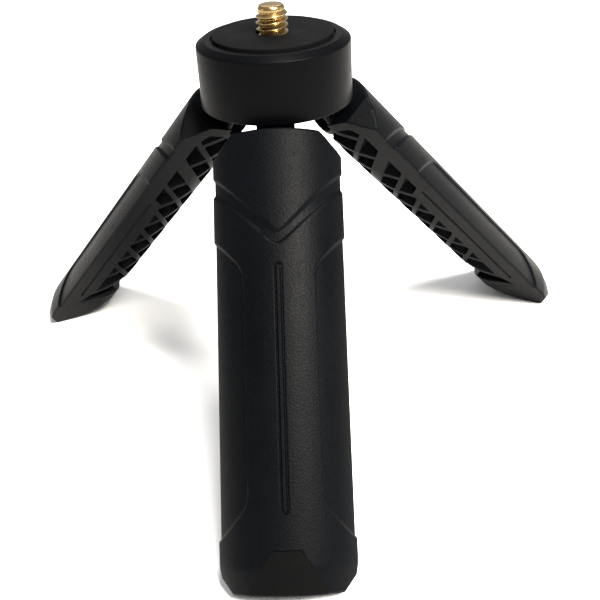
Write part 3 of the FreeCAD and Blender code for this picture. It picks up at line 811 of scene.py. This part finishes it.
    def crown_root(self):
        """U-shaped wall round the notch at the crown, and the solid behind it."""
        size = self.NOTCH
        half, outer = self.notch_half, self.notch_half + self.notch_wall
        notch = []
        behind = []
        for step in range(-24, 25):
            across = outer * math.sin(math.radians(90 * step / 24)) * 0.999
            under = size["under"] + size["under_depth"] * math.sqrt(1 - (across / outer) ** 2)
            top = size["rim"]
            if abs(across) < half:
                top = size["floor"] + size["depth"] * math.sqrt(1 - (across / half) ** 2)
            notch.append((across, top, max(under, top + size["least"])))
            behind.append((across, size["solid_top"], max(under, size["solid_least"])))
        yield self.slab(notch, inner_lift=0.0)
        yield self.slab(behind, edge=0.3, notch=size["reach"])
        wing = self.WING
        for side in (-1, 1):
            sections = [(side * (outer - wing["overlap"] + step * wing["spacing"]), wing["top"],
                         wing["bottom"] - step * wing["rise"]) for step in range(7)]
            yield self.slab(sections, wing["set_back"], 0.5)

    def arm(self, side):
        """Thin wall from the notch's rim up towards the head, beside an ear."""
        size = self.ARM
        rows = []
        for step in range(9):
            risen = size["rise"] * step / 8
            row = []
            for wall, behind in ((0.0, 0.0), (1.0, 0.0), (1.0, 1.0), (0.0, 1.0)):
                across = self.notch_half + self.notch_wall * wall
                near = self.inner_edge(across, self.truss_nose)
                near += size["set_back"] + size["lean"] * risen
                row.append((near + behind * size["depth"], side * across, size["start"] - risen))
            rows.append(row)
        return lofted(rows)

    def foot_wedge(self):
        """The foot's pointed top, between the last two windows."""
        size = self.WEDGE
        top, bottom = self.foot_start - size["above"], self.foot_start + size["below"]
        places = [index * size["spacing"] for index in range(-size["steps"], size["steps"] + 1)]
        return self.slab([(across, top + size["slope"] * abs(across), bottom)
                          for across in places], 0.05, 0.2)

    def neck(self):
        """Side outline of an ear, as (outward, up) points."""
        size = self.EAR
        outline = [(size["inside"], size["root"]), (size["outside"], size["root"]),
                   (size["outside"], size["shoulder"])]
        for step in range(25):
            turn = math.radians(size["first_turn"] + size["sweep"] * step / 24)
            outline.append((self.hinge_reach + self.boss * math.cos(turn),
                            self.pivot_height + self.boss * math.sin(turn)))
        return outline + [size["waist"], (size["inside"], 0.0)]


def lofted(rows):
    """Closed form through equal closed rows, with flat ends."""
    count = len(rows[0])
    points = [point for row in rows for point in row]
    faces = [tuple(range(count)), tuple(range((len(rows) - 1) * count, len(rows) * count))]
    for row in range(len(rows) - 1):
        faces += ring_quads(row * count, count)
    return points, faces


def ring_quads(first, count):
    """Quads between a ring of points that starts at that index and the next ring."""
    for index in range(count):
        here = first + index
        after = first + (index + 1) % count
        yield here, after, after + count, here + count


def mirrored(rows):
    """Quads through rows of half sections, and the same on the other side."""
    count = len(rows[0])
    points = [point for row in rows for point in row]
    total = len(points)
    points += [(n, -t, down) for n, t, down in points]
    faces = []
    for row in range(len(rows) - 1):
        for index in range(count - 1):
            quad = [row * count + index, row * count + index + 1,
                    (row + 1) * count + index + 1, (row + 1) * count + index]
            if len({tuple(round(value, 4) for value in points[corner]) for corner in quad}) > 2:
                faces.append(tuple(quad))
                faces.append(tuple(total + corner for corner in reversed(quad)))
    return points, faces


def upright(points):
    """(outward, across, down) to (x, y, z) of the closed leg."""
    return [(n, t, -down) for n, t, down in points]


def prism(outline, low, high):
    """Extrude an (outward, up) outline across, from low to high."""
    rows = [[(n, across, up) for n, up in outline] for across in (low, high)]
    return lofted(rows)


def softened(name, points, faces, width):
    """A part with its edges rounded by a bevel."""
    mesh = new_mesh(name, points, faces)
    form = bmesh.new()
    form.from_mesh(mesh)
    edges = [edge for edge in form.edges
             if edge.is_manifold and edge.calc_face_angle(0.0) > math.radians(40)]
    bmesh.ops.bevel(form, geom=edges, offset=width, segments=2, affect="EDGES",
                    clamp_overlap=True, profile=0.5)
    form.to_mesh(mesh)
    form.free()
    return mesh


def with_modifiers(item, helpers):
    """The item's mesh with its modifiers applied; the objects used for it are removed."""
    for each in helpers:
        bpy.context.scene.collection.objects.link(each)
    graph = bpy.context.evaluated_depsgraph_get()
    result = bpy.data.meshes.new_from_object(item.evaluated_get(graph))
    for each in helpers:
        bpy.data.objects.remove(each)
    return result


def notch_shell(mesh, form):
    """Cut the slot for the hub's lug, and the wider notch at its mouth, into the crown."""
    shell = bpy.data.objects.new("shell_blank", mesh)
    blocks = [shell]
    for half, reach, depth in ((form.slot_half, 6.2, 3.0), (form.notch_half, 4.4, 2.2)):
        outline = [(-4.0, -depth), (reach, -depth), (reach, 3.0), (-4.0, 3.0)]
        block = bpy.data.objects.new("slot_cutter",
                                     new_mesh("slot_cutter", *prism(outline, -half, half)))
        cut = shell.modifiers.new("slot", "BOOLEAN")
        cut.operation = "DIFFERENCE"
        cut.solver = "EXACT"
        cut.object = block
        blocks.append(block)
    return with_modifiers(shell, blocks)


def leg_frame(hinge, pivot_height):
    """Matrix from the closed leg's frame, in millimetres, to where the open leg stands."""
    pivot = Vector(hinge["pos_m"])
    across = Vector(hinge["axis"])
    reach = math.hypot(pivot.x, pivot.y)
    outward = Vector((pivot.x, pivot.y, 0.0)) / reach
    closed = Matrix((outward, across, Vector((0, 0, 1)))).transposed().to_4x4()
    opening = Matrix.Rotation(-math.radians(hinge["range_deg"][1]), 4, across)
    home = Matrix.Translation((-reach, 0, -pivot_height))
    return Matrix.Translation(pivot) @ opening @ closed @ home @ Matrix.Scale(MM, 4)


def leg_form():
    hinge = HINGES["front_leg"]
    reach = math.hypot(hinge["pos_m"][0], hinge["pos_m"][1])
    angle = math.radians(hinge["range_deg"][1])
    return LegForm(settings().leg, angle, reach, hinge["pos_m"][2])


# side outline of the web between the ears, as (outward, up) in millimetres
WEB = ((6.3, -3.0), (9.3, -3.0), (9.3, 2.6), (10.0, 4.4), (6.9, 4.4), (6.3, 2.0))


def moulded_leg(form):
    """One mesh of the whole moulding, in the closed leg's frame."""
    points, faces = form.shell()
    parts = [notch_shell(new_mesh("leg_shell", upright(points), faces), form)]
    for points, faces in [*form.lattice(), *form.crown_root(), form.foot_wedge()]:
        parts.append(new_mesh("leg_part", upright(points), faces))
    outline = form.neck()
    between = form.slot_half + 0.3
    for side in (-1, 1):
        near, far = sorted((side * form.slot_half, side * form.ear_outside))
        parts.append(softened("ear", *prism(outline, near, far), 0.25))
        points, faces = form.arm(side)
        parts.append(softened("arm", upright(points), faces, 0.12))
    parts.append(softened("web", *prism(WEB, -between, between), 0.2))
    whole = bmesh.new()
    for part in parts:
        whole.from_mesh(part)
    result = bpy.data.meshes.new("leg_moulding")
    whole.to_mesh(result)
    whole.free()
    return result


PAD_PROUD = 0.02          # all in millimetres: clear of the skin's full radius
PAD_BEND = 0.45           # over the end of the leg
PAD_SEAM = 0.1            # between the inlay and its pocket
PAD_INSIDE = 5.6          # where the inlay ends on the sole
PAD_THICKNESS = 0.42


def foot_pad_mesh(form):
    """Rubber inlay: on the skin, over the end and a little way along the sole."""
    end = form.height - PAD_PROUD
    start = form.PAD["start"] + PAD_SEAM
    straight = end - PAD_BEND
    path = [(0.0, start + (straight - start) * step / 26) for step in range(27)]
    for degrees in (22, 45, 68, 90):
        turn = math.radians(degrees)
        path.append((PAD_BEND - PAD_BEND * math.cos(turn), straight + PAD_BEND * math.sin(turn)))
    places = [step / 20 for step in range(-20, 21)]

    def on_skin(across, down, lower):
        radius = form.radius - form.drawn_in(across, down) - PAD_PROUD - lower
        return math.sqrt(radius * radius - across * across)

    rows = []
    for lower, down in path:
        half = form.pad_half(down) - PAD_SEAM
        rows.append([(on_skin(half * place, down, lower), half * place, down)
                     for place in places])
    half = form.pad_half(form.height) - PAD_SEAM
    rings = 24
    for ring in range(1, rings + 1):
        row = []
        for place in places:
            outer = on_skin(half * place, end, PAD_BEND)
            outward = outer + (PAD_INSIDE - outer) * ring / rings
            floor = form.sole_start + form.sole_slope * outward - PAD_PROUD
            row.append((outward, half * place, min(end, floor)))
        rows.append(row)
    count = len(places)
    points = [point for row in rows for point in row]
    faces = [(row * count + index, row * count + index + 1,
              (row + 1) * count + index + 1, (row + 1) * count + index)
             for row in range(len(rows) - 1) for index in range(count - 1)]
    return thickened(new_mesh("foot_pad", upright(points), faces), PAD_THICKNESS)


def thickened(mesh, depth):
    """Give a skin a thickness on its inner side, and break its edges."""
    item = bpy.data.objects.new("pad_blank", mesh)
    solid = item.modifiers.new("depth", "SOLIDIFY")
    solid.thickness = depth
    solid.offset = -1.0
    solid.use_even_offset = True
    edge = item.modifiers.new("edge", "BEVEL")
    edge.width = 0.09
    edge.segments = 2
    edge.limit_method = "ANGLE"
    edge.angle_limit = math.radians(60)
    return with_modifiers(item, [item])


def show_on_legs(form, closed, piece, node, material):
    """Copy a closed leg's piece to where each of the three legs stands."""
    for leg in LEG_NAMES:
        mesh = closed.copy()
        mesh.transform(leg_frame(HINGES[leg + "_leg"], form.pivot_height * MM))
        show(f"{leg}_{piece}", mesh, leg + "_leg", [node + leg], material)


# ------------------------------------------------------------------------------- operators
class MINITRIPOD_OT_head(bpy.types.Operator):
    """Build the round head and its rubber seat"""
    bl_idname = "mini_tripod.head"
    bl_label = "Head and Seat"

    def execute(self, context):
        turned_on_head("head_cap", "head_shell", cap_corners, head_plastic())
        turned_on_head("rubber_seat", "top_pad", seat_corners,
                       rubber("seat_rubber", settings().finish.rubber_black, 0.0003))
        return {"FINISHED"}


class MINITRIPOD_OT_stud(bpy.types.Operator):
    """Build the threaded brass camera stud"""
    bl_idname = "mini_tripod.stud"
    bl_label = "Camera Stud"

    def execute(self, context):
        make_stud(brass())
        return {"FINISHED"}


class MINITRIPOD_OT_inner_parts(bpy.types.Operator):
    """Finish the hub, its screws, the nut, the washers and the hinge pins"""
    bl_idname = "mini_tripod.inner_parts"
    bl_label = "Inner Parts"

    def execute(self, context):
        metal = steel()
        plastic = hub_plastic()
        nodes = ["hub", "hub_screws", "stud_nut", "stud_washer", "stud_lock_washer"]
        for name in LEG_NAMES:
            nodes += ["hinge_pin_" + name, "hinge_washers_" + name]
        for name in nodes:
            item = frame["nodes"][name]
            for slot in item.material_slots:
                slot.material = plastic if name == "hub" else metal
        return {"FINISHED"}


class MINITRIPOD_OT_legs(bpy.types.Operator):
    """Build the three moulded legs"""
    bl_idname = "mini_tripod.legs"
    bl_label = "Legs"

    def execute(self, context):
        form = leg_form()
        show_on_legs(form, moulded_leg(form), "leg_moulding", "leg_", leg_plastic())
        return {"FINISHED"}


class MINITRIPOD_OT_foot_pads(bpy.types.Operator):
    """Build the rubber inlay at the end of each leg"""
    bl_idname = "mini_tripod.foot_pads"
    bl_label = "Foot Pads"

    def execute(self, context):
        form = leg_form()
        material = rubber("foot_rubber", brighter(settings().finish.rubber_black, 0.5), 0.00022)
        show_on_legs(form, foot_pad_mesh(form), "foot_inlay", "foot_pad_", material)
        return {"FINISHED"}


LIT_PLACE = (0.0, 0.0, 0.045)     # the softboxes face the middle of the object
SOFTBOXES = (                    # name, place, width, height, watts, colour
    ("key_softbox", (0.34, -0.42, 0.66), 0.28, 0.24, 23.0, (1.0, 0.95, 0.86)),
    ("top_softbox", (0.10, -0.10, 0.80), 0.14, 0.14, 6.0, (1.0, 0.98, 0.94)),
    ("left_softbox", (-0.60, -0.12, 0.22), 0.25, 0.35, 0.35, (1.0, 1.0, 1.0)),
    ("right_softbox", (0.60, 0.05, 0.22), 0.25, 0.35, 0.4, (1.0, 1.0, 1.0)),
    ("back_softbox", (0.0, 0.60, 0.60), 0.60, 0.30, 1.5, (1.0, 1.0, 1.0)),
)
CAMERA_TURN = (-2.45, 31.21, -3.585)            # to the side, down, and leaning, in degrees
CAMERA_PLACE = (0.0101, -0.1868, 0.0648)        # its height is above the head's lower edge
CAMERA_LENS = 56.52


def area_light(name, place, width, tall, power, tone):
    data = bpy.data.lights.new(name, "AREA")
    data.shape = "RECTANGLE"
    data.size = width
    data.size_y = tall
    data.energy = power
    data.color = tone
    lamp = bpy.data.objects.new(name, data)
    lamp.location = place
    lamp.rotation_euler = (Vector(LIT_PLACE) - Vector(place)).to_track_quat("-Z", "Y").to_euler()
    bpy.context.scene.collection.objects.link(lamp)


def add_camera():
    """A little above the head, straight in front, with a slight lean."""
    yaw, pitch, lean = (math.radians(angle) for angle in CAMERA_TURN)
    ahead = Vector((math.sin(yaw) * math.cos(pitch), math.cos(yaw) * math.cos(pitch),
                    -math.sin(pitch)))
    right = Vector((math.cos(yaw), -math.sin(yaw), 0.0))
    up = right.cross(ahead)
    leaning_right = math.cos(lean) * right + math.sin(lean) * up
    leaning_up = -math.sin(lean) * right + math.cos(lean) * up
    turn = Matrix((leaning_right, leaning_up, -ahead)).transposed().to_4x4()
    side, back, above = CAMERA_PLACE
    head_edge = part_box("head_shell")[0][2]
    data = bpy.data.cameras.new("studio_camera")
    data.sensor_width = 36.0
    data.lens = CAMERA_LENS
    data.clip_start = 0.01
    data.clip_end = 20.0
    camera = bpy.data.objects.new("studio_camera", data)
    camera.matrix_world = Matrix.Translation((side, back, head_edge + above)) @ turn
    bpy.context.scene.collection.objects.link(camera)
    bpy.context.scene.camera = camera


def add_floor(base):
    """A wide, very slightly mottled sheet, curved up far away on every side."""
    rings, facets = 40, 96
    wide, level, curve = 3.0, 1.6, 0.55
    points = [(0.0, 0.0, 0.0)]
    for ring in range(1, rings + 1):
        reach = wide * (ring / rings) ** 2
        rise = max(0.0, reach - level) ** 2 * curve
        for facet in range(facets):
            bearing = 2 * math.pi * facet / facets
            points.append((reach * math.cos(bearing), reach * math.sin(bearing), rise))
    faces = [(0, 1 + facet, 1 + (facet + 1) % facets) for facet in range(facets)]
    for ring in range(rings - 1):
        faces += ring_quads(1 + ring * facets, facets)
    mesh = bpy.data.meshes.new("studio_floor")
    mesh.from_pydata(points, [], faces)
    shade(mesh)
    surface = Surface("studio_paper", base, 0.9)
    soft = surface.noise(0.002, detail=3.0)
    surface.join(surface.spread(soft, 0.82, 0.95), "Roughness")
    surface.join(surface.bump(soft, 0.00002), "Normal")
    mesh.materials.append(surface.material)
    floor = bpy.data.objects.new("studio_floor", mesh)
    bpy.context.scene.collection.objects.link(floor)


class MINITRIPOD_OT_stage(bpy.types.Operator):
    """Set up the pale floor, the soft lights and the camera"""
    bl_idname = "mini_tripod.stage"
    bl_label = "Stage"

    def execute(self, context):
        scene = context.scene
        scene.view_settings.view_transform = "Standard"
        world = bpy.data.worlds.new("studio_air")
        world.use_nodes = True
        world.node_tree.nodes["Background"].inputs["Color"].default_value = (1, 1, 1, 1)
        world.node_tree.nodes["Background"].inputs["Strength"].default_value = 0.55
        scene.world = world
        add_floor(settings().finish.floor)
        for softbox in SOFTBOXES:
            area_light(*softbox)
        add_camera()
        return {"FINISHED"}


STEPS = (MINITRIPOD_OT_head, MINITRIPOD_OT_stud, MINITRIPOD_OT_inner_parts,
         MINITRIPOD_OT_legs, MINITRIPOD_OT_foot_pads, MINITRIPOD_OT_stage)


class MINITRIPOD_PT_sidebar(bpy.types.Panel):
    """Buttons for each part of the tripod, in building order"""
    bl_idname = "MINITRIPOD_PT_sidebar"
    bl_label = "Mini Tripod"
    bl_space_type = "VIEW_3D"
    bl_region_type = "UI"
    bl_category = "Tripod"

    def draw(self, context):
        for step in STEPS:
            self.layout.operator(step.bl_idname)


CLASSES = (TripodHeadSettings, TripodLegSettings, TripodFinishSettings, TripodSettings,
           *STEPS, MINITRIPOD_PT_sidebar)


def register():
    for item in CLASSES:
        bpy.utils.register_class(item)
    bpy.types.Scene.mini_tripod = PointerProperty(type=TripodSettings)


def unregister():
    del bpy.types.Scene.mini_tripod
    for item in reversed(CLASSES):
        bpy.utils.unregister_class(item)


def run(step):
    """Call one operator through bpy.ops and stop if it doesn't finish."""
    group, name = step.bl_idname.split(".")
    result = getattr(getattr(bpy.ops, group), name)()
    if result != {"FINISHED"}:
        raise RuntimeError(f"{step.bl_label} didn't finish")


def main():
    register()
    for step in STEPS:
        run(step)


if __name__ == "__main__":
    main()
